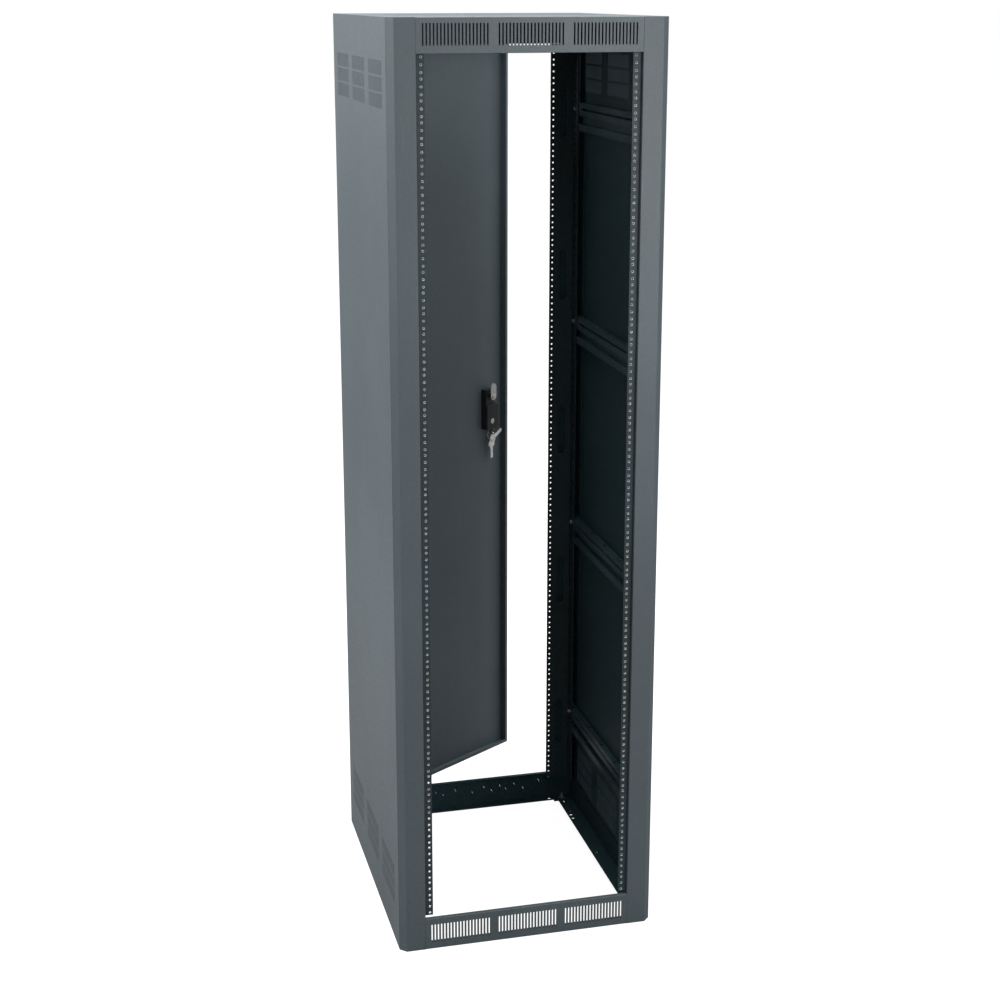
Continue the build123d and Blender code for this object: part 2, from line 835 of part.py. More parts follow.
def make_upper_pin():
    """Spring-loaded pin with a collar, and a bent end to pull it down by."""
    tail = guide_height - pin_tail
    pull_plane = Plane(
        origin=door_frame.origin + Vector(0, 0, tail + hinge_pin_diameter / 2),
        x_dir=(0, 0, 1),
        z_dir=door_frame.x_dir,
    )
    with BuildPart() as pin:
        with BuildSketch(door_level(tail)):
            Circle(hinge_pin_diameter / 2)
        extrude(amount=pin_tip - tail)
        chamfer(pin.faces().sort_by(Axis.Z)[-1].edges(), pin_chamfer)
        with BuildSketch(door_level(collar_bottom)):
            Circle(pin_collar_diameter / 2)
        extrude(amount=pin_collar)
        with BuildSketch(pull_plane):
            Circle(pin_pull_diameter / 2)
        extrude(amount=pin_pull_reach)
    save(pin.part, "upper_hinge_pin")


def make_pin_spring():
    """Compression spring between the guide and the collar, with the pin up."""
    radius = hinge_pin_diameter / 2 + spring_wire / 2 + spring_side_gap
    rise = spring_short_length + pin_travel - spring_wire - 2 * spring_seat_gap
    base = Vector(0, 0, guide_height + hinge_plate + spring_wire / 2 + spring_seat_gap)
    with BuildPart() as spring:
        with BuildLine() as coil:
            Helix(rise / spring_turns, rise, radius, center=door_frame.origin + base)
        with BuildSketch(Plane(origin=coil.line @ 0, z_dir=coil.line % 0)):
            Circle(spring_wire / 2)
        sweep()
    save(spring.part, "hinge_pin_spring")


# ---- latch and keys -------------------------------------------------------------------
def make_latch_housing():
    """Moulded housing through the door, with a tab under it for the key ring."""
    step_height = latch_cam_height - latch_step_drop
    spindle_hole = latch_spindle_diameter / 2 + latch_running_clearance
    lock_hole = lock_diameter / 2 + latch_running_clearance
    middle_height = (housing_top + housing_bottom) / 2
    with BuildPart() as housing:
        with BuildSketch(door_face(door_inner)):
            with Locations((latch_x, housing_top)):
                Rectangle(
                    latch_upper_width, housing_top - step_height, align=(Align.CENTER, Align.MAX)
                )
        extrude(amount=latch_upper_depth)
        with BuildSketch(door_face(door_inner)):
            with Locations((latch_centre_x, housing_bottom)):
                Rectangle(
                    latch_housing_width, step_height - housing_bottom, align=(Align.CENTER, Align.MIN)
                )
        extrude(amount=latch_lower_depth)
        inner_face = housing.faces().sort_by(inward)[-1]
        fillet(inner_face.edges(), housing_edge_radius)
        with BuildSketch(door_face(door_outer)):
            with Locations((latch_centre_x, middle_height)):
                Rectangle(
                    latch_housing_width - 2 * latch_plate_margin,
                    latch_total_height - 2 * latch_plate_margin,
                )
        extrude(amount=door_sheet)
        with BuildSketch(door_face(door_outer + latch_plate)):
            with Locations((latch_centre_x, middle_height)):
                RectangleRounded(
                    latch_housing_width + latch_plate_margin,
                    latch_total_height + latch_plate_margin,
                    latch_plate_corner,
                )
        extrude(amount=latch_plate)
        chamfer(housing.faces().sort_by(inward)[0].edges(), latch_plate_chamfer)
        with BuildSketch(door_face(ring_middle + lug_thickness / 2)):
            with Locations((latch_centre_x, housing_bottom + 1)):
                Rectangle(lug_width, lug_drop + 1, align=(Align.CENTER, Align.MAX))
        extrude(amount=lug_thickness)
        with BuildSketch(door_face(ring_middle + lug_thickness)):
            with Locations((latch_centre_x, lug_hole_height)):
                Circle(lug_hole_diameter / 2)
        extrude(amount=2 * lug_thickness, mode=Mode.SUBTRACT)
        with BuildSketch(door_face(door_outer + 2 * latch_plate)):
            with Locations((latch_x, latch_cam_height)):
                Circle(spindle_hole)
            with Locations((latch_centre_x, lock_height)):
                Circle(lock_hole)
        extrude(amount=2 * door_depth, mode=Mode.SUBTRACT)
    save(housing.part, "latch_housing")


def make_latch_handle():
    """Outer lever with its spindle; the lever points to the door's free edge when unlatched."""
    start = door_outer + latch_plate + handle_gap
    with BuildPart() as handle:
        with BuildSketch(door_face(start + handle_thickness)):
            with Locations((latch_x, latch_cam_height)):
                Circle(handle_hub_diameter / 2)
                Rectangle(handle_length, handle_width, align=(Align.MIN, Align.CENTER))
        extrude(amount=handle_thickness)
        chamfer(handle.faces().sort_by(inward)[0].edges(), handle_chamfer)
        with BuildSketch(door_face(start)):
            with Locations((latch_x, latch_cam_height)):
                Circle(latch_spindle_diameter / 2)
        extrude(amount=start - cam_back)
    save(handle.part, "latch_handle")


def make_latch_cam():
    """Flat cam on the spindle's inner end; it points up when the door is unlatched."""
    straight = cam_length - cam_width / 2
    with BuildPart() as cam:
        with BuildSketch(door_face(cam_back)):
            with Locations((latch_x, latch_cam_height)):
                Circle(cam_width / 2)
                Rectangle(cam_width, straight, align=(Align.CENTER, Align.MIN))
                Circle(screw_shank_diameter / 2, mode=Mode.SUBTRACT)
            with Locations((latch_x, latch_cam_height + straight)):
                Circle(cam_width / 2)
        extrude(amount=cam_sheet)
    save(cam.part, "latch_cam")


def make_cam_screw():
    with BuildPart() as screw:
        with BuildSketch(door_face(cam_back)):
            with Locations((latch_x, latch_cam_height)):
                Circle(screw_shank_diameter / 2)
        extrude(amount=cam_sheet)
        with BuildSketch(door_face(cam_back - cam_sheet)):
            with Locations((latch_x, latch_cam_height)):
                RegularPolygon(screw_head_diameter / 2, 6)
        extrude(amount=screw_head_height)
    save(screw.part, "latch_cam_screw")


def make_lock_cylinder():
    outer_face = door_outer + latch_plate + lock_proud
    inner_end = door_inner - latch_lower_depth + lock_recess
    with BuildPart() as lock:
        with BuildSketch(door_face(outer_face)):
            with Locations((latch_centre_x, lock_height)):
                Circle(lock_diameter / 2)
        extrude(amount=outer_face - inner_end)
        chamfer(lock.faces().sort_by(inward)[0].edges(), lock_chamfer)
        with BuildSketch(door_face(outer_face)):
            with Locations((latch_centre_x, lock_height)):
                Rectangle(keyway_width, keyway_height)
        extrude(amount=keyway_depth, mode=Mode.SUBTRACT)
    save(lock.part, "lock_cylinder")


def make_key_ring():
    """Wire ring that hangs in the housing's tab, in an upright plane square to the door."""
    ring_plane = Plane(
        origin=door_face(ring_middle).from_local_coords(Vector(latch_centre_x, ring_height, 0)),
        x_dir=inward.direction,
        z_dir=door_frame.x_dir * -1,
    )
    section_plane = Plane(origin=ring_plane.origin, x_dir=inward.direction, z_dir=(0, 0, 1))
    with BuildPart() as ring:
        with BuildSketch(section_plane):
            with Locations((ring_radius, 0)):
                Circle(ring_wire / 2)
        revolve(axis=Axis(ring_plane.origin, ring_plane.z_dir))
    save(ring.part, "key_ring")


def make_key(name, middle, angle):
    """Flat key hanging on the ring; angle is its turn from straight down to the free edge."""
    hang = ring_height - ring_radius
    reach = key_hole_diameter / 2 - ring_wire / 2 - key_ring_clearance
    face = door_face(middle + key_sheet / 2)
    key_plane = Plane(
        origin=face.from_local_coords(Vector(latch_centre_x, hang, 0)),
        x_dir=face.x_dir.rotate(Axis((0, 0, 0), face.z_dir), angle),
        z_dir=face.z_dir,
    )
    bow_centre = -reach - key_bow_diameter / 2 + key_hole_diameter / 2 + key_edge
    with BuildPart() as key:
        with BuildSketch(key_plane):
            with Locations((0, bow_centre)):
                Circle(key_bow_diameter / 2)
            with Locations((0, bow_centre)):
                Rectangle(key_blade_width, key_length + bow_centre, align=(Align.CENTER, Align.MAX))
            with Locations((0, -reach)):
                Circle(key_hole_diameter / 2, mode=Mode.SUBTRACT)
            for notch in range(key_notches):
                with Locations((key_blade_width / 2, -key_length + (notch + 1) * key_notch_pitch)):
                    Circle(key_notch_radius + key_notch_change * (notch % 2), mode=Mode.SUBTRACT)
        extrude(amount=key_sheet)
    save(key.part, name)


def main():
    os.makedirs("parts", exist_ok=True)
    make_front_header()
    make_front_sill()
    make_front_stiles()
    make_side_panels()
    make_top_panel()
    make_rear_posts()
    make_base_channels()
    make_rear_crossmembers()
    make_braces()
    make_rails()
    make_rail_fasteners("front", front_rail_face + rail_side_hole_inset)
    make_rail_fasteners("rear", rear_rail_face - rail_side_hole_inset)
    make_ground_stud()
    make_door_panel()
    make_bushing("lower_door_bushing", door_bottom, -1)
    make_bushing("upper_door_bushing", door_top, 1)
    make_frame_hinges()
    make_lower_pin()
    make_pin_guide()
    make_upper_pin()
    make_pin_spring()
    make_latch_housing()
    make_latch_handle()
    make_latch_cam()
    make_cam_screw()
    make_lock_cylinder()
    make_key_ring()
    make_key("hanging_key", ring_middle - (key_sheet + key_gap) / 2, 0)
    make_key("raised_key", ring_middle + (key_sheet + key_gap) / 2, raised_key_angle)


main()
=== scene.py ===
"""Equipment rack cabinet: finishes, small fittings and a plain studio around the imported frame.

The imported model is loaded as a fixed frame. Each operator finishes one group of pieces,
and the last one makes the floor, the lights and the camera.
"""
import json
import math

import bpy
from bpy.props import FloatProperty, FloatVectorProperty, IntProperty, PointerProperty
from mathutils import Matrix, Vector


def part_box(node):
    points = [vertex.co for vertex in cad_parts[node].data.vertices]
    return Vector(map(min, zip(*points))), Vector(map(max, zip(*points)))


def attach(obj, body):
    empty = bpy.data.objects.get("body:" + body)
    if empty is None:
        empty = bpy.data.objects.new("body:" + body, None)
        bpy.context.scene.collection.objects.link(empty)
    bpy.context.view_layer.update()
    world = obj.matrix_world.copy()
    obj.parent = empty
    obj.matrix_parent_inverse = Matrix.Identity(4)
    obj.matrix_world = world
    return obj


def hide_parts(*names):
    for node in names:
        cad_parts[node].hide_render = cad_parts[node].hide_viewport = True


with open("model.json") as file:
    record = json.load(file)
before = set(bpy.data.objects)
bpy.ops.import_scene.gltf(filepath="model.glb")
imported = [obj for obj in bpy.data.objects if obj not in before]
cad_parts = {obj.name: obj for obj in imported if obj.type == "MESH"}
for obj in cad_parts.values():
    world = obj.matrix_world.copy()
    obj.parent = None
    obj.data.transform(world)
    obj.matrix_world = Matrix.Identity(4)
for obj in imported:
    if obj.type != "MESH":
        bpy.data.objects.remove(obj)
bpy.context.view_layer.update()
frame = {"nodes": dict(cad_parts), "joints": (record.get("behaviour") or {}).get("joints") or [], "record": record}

bl_info = {
    "name": "Equipment rack cabinet",
    "version": (1, 0, 0),
    "blender": (4, 5, 0),
    "location": "3D View > Sidebar > Rack",
    "description": "Finishes the rack cabinet's pieces and sets up its studio",
    "category": "Object",
}

MM = 0.001
SIDES = ("left", "right")
LEVELS = ("lower", "lower_middle", "upper_middle", "upper")
UNIT_HOLE_RISES = (6.35 * MM, 22.225 * MM, 38.1 * MM)
UNIT_PITCH = 44.45 * MM
RAIL_THICKNESS = 3.0 * MM

FRONT_PIECES = ("front_header", "front_sill", "left_front_stile", "right_front_stile", "top_panel")
RAILS = ("left_front_rail", "right_front_rail", "left_rear_rail", "right_rear_rail")
INNER_PIECES = (
    "left_rear_post",
    "right_rear_post",
    "left_base_channel",
    "right_base_channel",
    "rear_base_crossmember",
    "rear_top_crossmember",
)
FASTENERS = (
    "front_rail_screws",
    "front_rail_nuts",
    "rear_rail_screws",
    "rear_rail_nuts",
    "ground_stud",
    "latch_cam_screw",
)
HINGE_METAL = (
    "lower_hinge_bracket",
    "upper_hinge_bracket",
    "lower_hinge_pin",
    "upper_hinge_pin",
    "hinge_pin_guide",
    "hinge_pin_spring",
)
BUSHINGS = ("lower_door_bushing", "upper_door_bushing")

# name, place, the point it faces, width and height in metres, and the setting that holds its power
SOFTBOXES = (
    ("side_softbox", (-3.0, 0.6, 2.6), (0, 0.1, 1.3), 2.2, 2.2, "side_light"),
    ("front_softbox", (1.5, -2.6, 1.7), (0, 0, 1.5), 1.6, 1.6, "front_light"),
    ("near_softbox", (0.75, -1.9, 1.7), (0, 0.2, 1.5), 0.7, 1.3, "near_light"),
    ("top_softbox", (0.2, 0.3, 5.2), (0, 0, 0), 4.5, 4.5, "top_light"),
)
CAMERA_PLACE = (-0.977, -3.979, 2.160)
CAMERA_DIP = 14.51
CAMERA_TURN = 14.07
CAMERA_RISE = -0.05


def joint(name):
    """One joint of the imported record, by name."""
    return next(j for j in frame["joints"] if j["name"] == name)


def mount(name):
    """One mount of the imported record, by name."""
    return next(m for m in frame["record"]["mounts"] if m["name"] == name)


# ---- settings ---------------------------------------------------------------------------
def colour_setting(name, description, default):
    return FloatVectorProperty(
        name=name, description=description, default=default, subtype="COLOR", size=3, min=0, max=1
    )


def length_setting(name, description, default):
    return FloatProperty(
        name=name, description=description, default=default, unit="LENGTH", subtype="DISTANCE", min=0
    )


def power_setting(name, description, default):
    return FloatProperty(name=name, description=description, default=default, unit="POWER", min=0)


class RackFinishes(bpy.types.PropertyGroup):
    """Colours and grain of the coats, metals and mouldings."""

    outer_coat: colour_setting("Outer coat", "Powder coat on the front, top and sides", (0.047, 0.066, 0.078))
    outer_fade: colour_setting("Outer fade", "Paler patches in the outer coat", (0.058, 0.080, 0.093))
    # The door coat and its fade are paler than the outer coat as painted light, standing in for the light on the
    # door's inner face.
    door_painted_light_coat: colour_setting("Door coat", "Powder coat on the rear door", (0.072, 0.099, 0.114))
    door_painted_light_fade: colour_setting("Door fade", "Paler patches in the door's coat", (0.090, 0.119, 0.135))
    inner_coat: colour_setting("Inner coat", "Coat on the inner frame", (0.002, 0.024, 0.032))
    # Inner fade is also the painted shade colour of the side panels' inner faces.
    inner_fade_and_panel_shade: colour_setting("Inner fade", "Paler patches in the inner coat", (0.003, 0.036, 0.046))
    # The brace coat's paler patches are painted sheen, standing in for the highlights on the braces' edges.
    brace_painted_sheen: colour_setting("Brace coat", "Satin coat on the braces, paler as painted sheen", (0.040, 0.085, 0.100))
    rail_coat: colour_setting("Rail coat", "Satin black coat on the rails", (0.001, 0.008, 0.011))
    zinc: colour_setting("Zinc plate", "Screws, nuts and thread lips", (0.88, 0.88, 0.86))
    # The bare zinc is real bare thread plate, set near-white as a painted glint of the tapped holes.
    bare_zinc_and_glint: colour_setting("Bare zinc", "Pale plate in the tapped holes", (0.97, 0.98, 0.98))
    dull_zinc: colour_setting("Dull zinc", "Hinge hardware and cam", (0.70, 0.70, 0.68))
    nickel: colour_setting("Nickel plate", "Keys, key ring and lock", (0.92, 0.91, 0.88))
    moulding: colour_setting("Black moulding", "Latch housing and handle", (0.004, 0.006, 0.0065))
    nylon: colour_setting("Nylon", "Hinge bushings", (0.03, 0.03, 0.03))
    grain: length_setting("Coat grain", "Size of one grain of the powder coat", 1.1 * MM)
    # Inside this distance from the middle, the side coat paints shade on a panel's inner face.
    inner_face: length_setting("Inner face", "Distance from the middle to a side panel's inner face", 0.3038)


class RackFittings(bpy.types.PropertyGroup):
    """Sizes of the small fittings that are added to the frame."""

    thread_pitch: length_setting("Thread pitch", "Pitch of the rail holes' threads", 0.8 * MM)
    thread_depth: length_setting("Thread depth", "Depth of the rail holes' threads", 0.17 * MM)
    lip_width: length_setting("Lip width", "Bare lip round each tapped hole", 0.35 * MM)
    lip_height: length_setting("Lip height", "How far the bare lip stands off the rail", 0.12 * MM)
    hole_sides: IntProperty(name="Hole sides", description="Sides of each thread's circle", default=14, min=8)
    key_length: length_setting("Key length", "From the ring to the key's tip", 50 * MM)
    key_bow: length_setting("Key bow", "Diameter of the key's bow", 24 * MM)
    key_thickness: length_setting("Key thickness", "Thickness of the key", 1.8 * MM)


class RackStudio(bpy.types.PropertyGroup):
    """The floor, the lights and the camera."""

    floor_width: length_setting("Floor width", "Width of the square floor", 60.0)
    side_light: power_setting("Side light", "Power of the left softbox", 130)
    front_light: power_setting("Front light", "Power of the front softbox", 25)
    near_light: power_setting("Near light", "Power of the small front softbox", 10)
    top_light: power_setting("Top light", "Power of the overhead softbox", 380)
    sky: FloatProperty(name="Sky", description="Strength of the plain white surround", default=0.62, min=0)
    lens: FloatProperty(name="Lens", description="Focal length of the camera", default=63.65, unit="CAMERA")


# ---- shader building --------------------------------------------------------------------
def add(tree, kind, **settings):
    """Adds a node and sets its properties."""
    made = tree.nodes.new(kind)
    for key, value in settings.items():
        setattr(made, key, value)
    return made


def feed(tree, target, value):
    """Puts a number, a colour or another node's output into an input."""
    if isinstance(value, bpy.types.NodeSocket):
        tree.links.new(value, target)
    elif hasattr(value, "__len__") and len(value) == 3 and target.type == "RGBA":
        target.default_value = (*value, 1)
    else:
        target.default_value = value


def calculate(tree, operation, first, second=0.0, clamp=False):
    """A Math node's result."""
    made = add(tree, "ShaderNodeMath", operation=operation, use_clamp=clamp)
    feed(tree, made.inputs[0], first)
    feed(tree, made.inputs[1], second)
    return made.outputs[0]


def blend_colours(tree, share, first, second):
    """A mix of two colours."""
    made = add(tree, "ShaderNodeMix", data_type="RGBA")
    feed(tree, made.inputs[0], share)
    feed(tree, made.inputs[6], first)
    feed(tree, made.inputs[7], second)
    return made.outputs[2]


def spread(tree, value, low, high, start=0.0, end=1.0):
    """A value moved from one range to another, kept inside the new one."""
    made = add(tree, "ShaderNodeMapRange")
    for socket, number in zip(made.inputs, (value, low, high, start, end)):
        feed(tree, socket, number)
    return made.outputs[0]


def noise(tree, place, scale, detail=3.0, roughness=0.5):
    """Noise at a scale in cycles per metre."""
    made = add(tree, "ShaderNodeTexNoise")
    feed(tree, made.inputs["Vector"], place)
    feed(tree, made.inputs["Scale"], scale)
    feed(tree, made.inputs["Detail"], detail)
    feed(tree, made.inputs["Roughness"], roughness)
    return made.outputs["Fac"]


def stretched(tree, place, scale):
    """A place with its axes scaled, for grain that runs one way."""
    made = add(tree, "ShaderNodeMapping")
    feed(tree, made.inputs["Vector"], place)
    made.inputs["Scale"].default_value = scale
    return made.outputs[0]


def new_group(name, inputs, outputs):
    """An empty node group with named sockets; gives the tree, its inputs and its output node."""
    tree = bpy.data.node_groups.new(name, "ShaderNodeTree")
    for label, kind, default in inputs:
        socket = tree.interface.new_socket(name=label, in_out="INPUT", socket_type=kind)
        if default is not None:
            socket.default_value = default
    for label, kind in outputs:
        tree.interface.new_socket(name=label, in_out="OUTPUT", socket_type=kind)
    return tree, add(tree, "NodeGroupInput").outputs, add(tree, "NodeGroupOutput").inputs


def powder_grain():
    """Fine orange-peel grain with slow patches of a paler colour."""
    name = "Powder coat grain"
    if name in bpy.data.node_groups:
        return bpy.data.node_groups[name]
    tree, given, out = new_group(
        name,
        (
            ("Place", "NodeSocketVector", None),
            ("Colour", "NodeSocketColor", (0.1, 0.1, 0.1, 1)),
            ("Faded colour", "NodeSocketColor", (0.12, 0.12, 0.12, 1)),
            ("Grains per metre", "NodeSocketFloat", 900.0),
            ("Gloss", "NodeSocketFloat", 0.5),
        ),
        (
            ("Colour", "NodeSocketColor"),
            ("Roughness", "NodeSocketFloat"),
            ("Height", "NodeSocketFloat"),
        ),
    )
    place = given["Place"]
    fine = noise(tree, place, given["Grains per metre"], 2.0, 0.55)
    coarse = noise(tree, place, calculate(tree, "MULTIPLY", given["Grains per metre"], 0.28), 2.0)
    patches = noise(tree, place, 2.3, 4.0, 0.55)
    speckle = noise(tree, place, calculate(tree, "MULTIPLY", given["Grains per metre"], 1.7), 1.0)
    colour = blend_colours(tree, spread(tree, patches, 0.35, 0.68), given["Colour"], given["Faded colour"])
    darker = blend_colours(tree, 0.35, colour, (0.0, 0.0, 0.0))
    lighter = blend_colours(tree, 0.10, colour, (0.75, 0.78, 0.80))
    mottled = blend_colours(tree, spread(tree, speckle, 0.42, 0.62), darker, lighter)
    feed(tree, out["Colour"], blend_colours(tree, 0.55, colour, mottled))
    rough = calculate(tree, "SUBTRACT", 0.92, calculate(tree, "MULTIPLY", given["Gloss"], 0.8))
    vary = spread(tree, coarse, 0.3, 0.7, -0.06, 0.06)
    feed(tree, out["Roughness"], calculate(tree, "ADD", rough, vary, clamp=True))
    feed(tree, out["Height"], calculate(tree, "ADD", fine, calculate(tree, "MULTIPLY", coarse, 0.8)))
    return tree


def handling_wear():
    """Faint rubbed streaks and specks from handling, as a mask."""
    name = "Handling wear"
    if name in bpy.data.node_groups:
        return bpy.data.node_groups[name]
    tree, given, out = new_group(
        name,
        (("Place", "NodeSocketVector", None), ("Amount", "NodeSocketFloat", 0.3)),
        (("Mask", "NodeSocketFloat"),),
    )
    place = given["Place"]
    streaks = noise(tree, stretched(tree, place, (9.0, 9.0, 1.4)), 7.0, 5.0, 0.62)
    specks = noise(tree, place, 160.0, 2.0, 0.6)
    rubbed = spread(tree, streaks, 0.60, 0.78)
    dotted = spread(tree, specks, 0.74, 0.80)
    both = calculate(tree, "MAXIMUM", rubbed, calculate(tree, "MULTIPLY", dotted, 0.8))
    feed(tree, out["Mask"], calculate(tree, "MULTIPLY", both, given["Amount"], clamp=True))
    return tree


def metal_grain():
    """Fine drawn grain and dull spots of plated steel."""
    name = "Plated steel grain"
    if name in bpy.data.node_groups:
        return bpy.data.node_groups[name]
    tree, given, out = new_group(
        name,
        (
            ("Place", "NodeSocketVector", None),
            ("Colour", "NodeSocketColor", (0.6, 0.6, 0.6, 1)),
            ("Roughness", "NodeSocketFloat", 0.3),
        ),
        (
            ("Colour", "NodeSocketColor"),
            ("Roughness", "NodeSocketFloat"),
            ("Height", "NodeSocketFloat"),
        ),
    )
    place = given["Place"]
    drawn = noise(tree, stretched(tree, place, (1.0, 1.0, 0.12)), 2600.0, 3.0, 0.6)
    dull = noise(tree, place, 210.0, 4.0, 0.6)
    darker = blend_colours(tree, 0.38, given["Colour"], (0.12, 0.11, 0.10))
    feed(tree, out["Colour"], blend_colours(tree, spread(tree, dull, 0.42, 0.72), given["Colour"], darker))
    rough = calculate(tree, "ADD", given["Roughness"], spread(tree, drawn, 0.3, 0.7, -0.07, 0.10))
    duller = spread(tree, dull, 0.4, 0.7, 0.0, 0.12)
    feed(tree, out["Roughness"], calculate(tree, "ADD", rough, duller, clamp=True))
    feed(tree, out["Height"], drawn)
    return tree


def place_group(tree, group, **values):
    """A node group placed in a material, with its inputs filled in."""
    made = add(tree, "ShaderNodeGroup", node_tree=group)
    for label, value in values.items():
        feed(tree, made.inputs[label.replace("_", " ")], value)
    return made.outputs


def start_material(name, metallic=0.0, specular=0.5):
    """An empty material; gives it, its tree, its shader and the piece's own coordinates."""
    material = bpy.data.materials.new(name)
    material.use_nodes = True
    tree = material.node_tree
    shader = tree.nodes["Principled BSDF"]
    shader.inputs["Metallic"].default_value = metallic
    shader.inputs["Specular IOR Level"].default_value = specular
    place = add(tree, "ShaderNodeTexCoord").outputs["Object"]
    return material, tree, shader, place


def raise_surface(tree, shader, height, depth, strength=1.0):
    """Feeds a height in metres of relief to the shader's normal."""
    bump = add(tree, "ShaderNodeBump")
    bump.inputs["Distance"].default_value = depth
    bump.inputs["Strength"].default_value = strength
    feed(tree, bump.inputs["Height"], height)
    feed(tree, shader.inputs["Normal"], bump.outputs[0])


def coat_material(name, colour, faded, gloss, wear, painted_shade_colour=None, specular=0.5):
    """Fine-textured powder coat; a side panel's inner face can take a darker colour as painted shade."""
    if name in bpy.data.materials:
        return bpy.data.materials[name]
    finishes = bpy.context.scene.rack_finishes
    material, tree, shader, place = start_material(name, specular=specular)
    # Painted shade: inside the inner face distance, the side panel's inner face takes a nearly black colour
    # standing in for the shade inside the cabinet.
    if painted_shade_colour is not None:
        across = add(tree, "ShaderNodeSeparateXYZ")
        feed(tree, across.inputs[0], place)
        reach = calculate(tree, "ABSOLUTE", across.outputs["X"])
        inside = calculate(tree, "LESS_THAN", reach, finishes.inner_face)
        colour = blend_colours(tree, inside, tuple(colour), tuple(painted_shade_colour))
        faded = blend_colours(tree, inside, tuple(faded), tuple(painted_shade_colour))
    coat = place_group(
        tree,
        powder_grain(),
        Place=place,
        Colour=colour,
        Faded_colour=faded,
        Grains_per_metre=1.0 / finishes.grain,
        Gloss=gloss,
    )
    rubbed = place_group(tree, handling_wear(), Place=place, Amount=wear)["Mask"]
    worn = blend_colours(tree, rubbed, coat["Colour"], (0.26, 0.28, 0.30))
    feed(tree, shader.inputs["Base Color"], worn)
    smoother = calculate(tree, "MULTIPLY", rubbed, 0.35)
    rough = calculate(tree, "SUBTRACT", coat["Roughness"], smoother, clamp=True)
    feed(tree, shader.inputs["Roughness"], rough)
    raise_surface(tree, shader, coat["Height"], 0.10 * MM, 0.7)
    return material


def metal_material(name, colour, roughness, metallic=1.0):
    """Plated steel with a drawn grain."""
    if name in bpy.data.materials:
        return bpy.data.materials[name]
    material, tree, shader, place = start_material(name, metallic=metallic)
    grain = place_group(tree, metal_grain(), Place=place, Colour=colour, Roughness=roughness)
    rubbed = place_group(tree, handling_wear(), Place=place, Amount=0.4)["Mask"]
    worn = blend_colours(tree, rubbed, grain["Colour"], (0.86, 0.85, 0.82))
    feed(tree, shader.inputs["Base Color"], worn)
    feed(tree, shader.inputs["Roughness"], grain["Roughness"])
    raise_surface(tree, shader, grain["Height"], 0.02 * MM, 0.5)
    return material


def moulded_material(name, colour, gloss):
    """Spark-eroded moulded plastic with polished rubs."""
    if name in bpy.data.materials:
        return bpy.data.materials[name]
    material, tree, shader, place = start_material(name, specular=0.3)
    pale = tuple(min(1.0, c * 1.8) for c in colour)
    skin = place_group(
        tree,
        powder_grain(),
        Place=place,
        Colour=colour,
        Faded_colour=pale,
        Grains_per_metre=2600.0,
        Gloss=gloss,
    )
    rubbed = place_group(tree, handling_wear(), Place=place, Amount=0.4)["Mask"]
    worn = blend_colours(tree, rubbed, skin["Colour"], (0.03, 0.035, 0.04))
    feed(tree, shader.inputs["Base Color"], worn)
    shine = calculate(tree, "MULTIPLY", rubbed, 0.3)
    rough = calculate(tree, "SUBTRACT", skin["Roughness"], shine, clamp=True)
    feed(tree, shader.inputs["Roughness"], rough)
    raise_surface(tree, shader, skin["Height"], 0.03 * MM, 0.6)
    return material


def floor_material():
    """Plain floor that shows white to the camera, and throws little light back on the cabinet."""
    material, tree, shader, place = start_material("Studio floor", specular=0.0)
    cloud = noise(tree, place, 0.8, 3.0)
    pale = blend_colours(tree, cloud, (0.20, 0.20, 0.20), (0.23, 0.23, 0.23))
    feed(tree, shader.inputs["Base Color"], pale)
    feed(tree, shader.inputs["Roughness"], spread(tree, cloud, 0.0, 1.0, 0.85, 0.95))
    seen = add(tree, "ShaderNodeLightPath").outputs["Is Camera Ray"]
    feed(tree, shader.inputs["Emission Color"], blend_colours(tree, seen, (0.0, 0.0, 0.0), (1.0, 1.0, 1.0)))
    shader.inputs["Emission Strength"].default_value = 0.95
    return material


def finish(node_name, material):
    """Gives a CAD node one material."""
    piece = frame["nodes"][node_name]
    piece.data.materials.clear()
    piece.data.materials.append(material)
    return piece


def soften(piece, width, segments=2, sharper_than=35):
    """Rounds a CAD node's edges with a modifier, leaving its mesh alone."""
    bevel = piece.modifiers.new("Soft edges", "BEVEL")
    bevel.width = width
    bevel.segments = segments
    bevel.limit_method = "ANGLE"
    bevel.angle_limit = math.radians(sharper_than)
    bevel.use_clamp_overlap = True
    bevel.harden_normals = False


def add_piece(name, mesh, material, body, smooth=True):
    """Links a new mesh, and rides it on a body."""
    mesh.materials.append(material)
    mesh.polygons.foreach_set("use_smooth", [smooth] * len(mesh.polygons))
    piece = bpy.data.objects.new(name, mesh)
    bpy.context.scene.collection.objects.link(piece)
    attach(piece, body)
    return piece


# ---- coats ------------------------------------------------------------------------------
class RACK_OT_front_frame(bpy.types.Operator):
    """Coat the header, the sill, the front stiles and the top"""

    bl_idname = "rack.front_frame"
    bl_label = "Front frame and top"

    def execute(self, context):
        finishes = context.scene.rack_finishes
        coat = coat_material("Charcoal outer coat", finishes.outer_coat, finishes.outer_fade, 0.52, 0.10)
        for name in FRONT_PIECES:
            finish(name, coat)
        return {"FINISHED"}


class RACK_OT_side_panels(bpy.types.Operator):
    """Coat the side panels charcoal, with painted shade making their inner faces nearly black"""

    bl_idname = "rack.side_panels"
    bl_label = "Side panels"

    def execute(self, context):
        finishes = context.scene.rack_finishes
        coat = coat_material(
            "Charcoal side coat",
            finishes.outer_coat,
            finishes.outer_fade,
            0.56,
            0.12,
            # the paler inner colour here is painted shade on the side panels' inner faces
            painted_shade_colour=finishes.inner_fade_and_panel_shade,
        )
        for side in SIDES:
            finish(f"{side}_side_panel", coat)
        return {"FINISHED"}


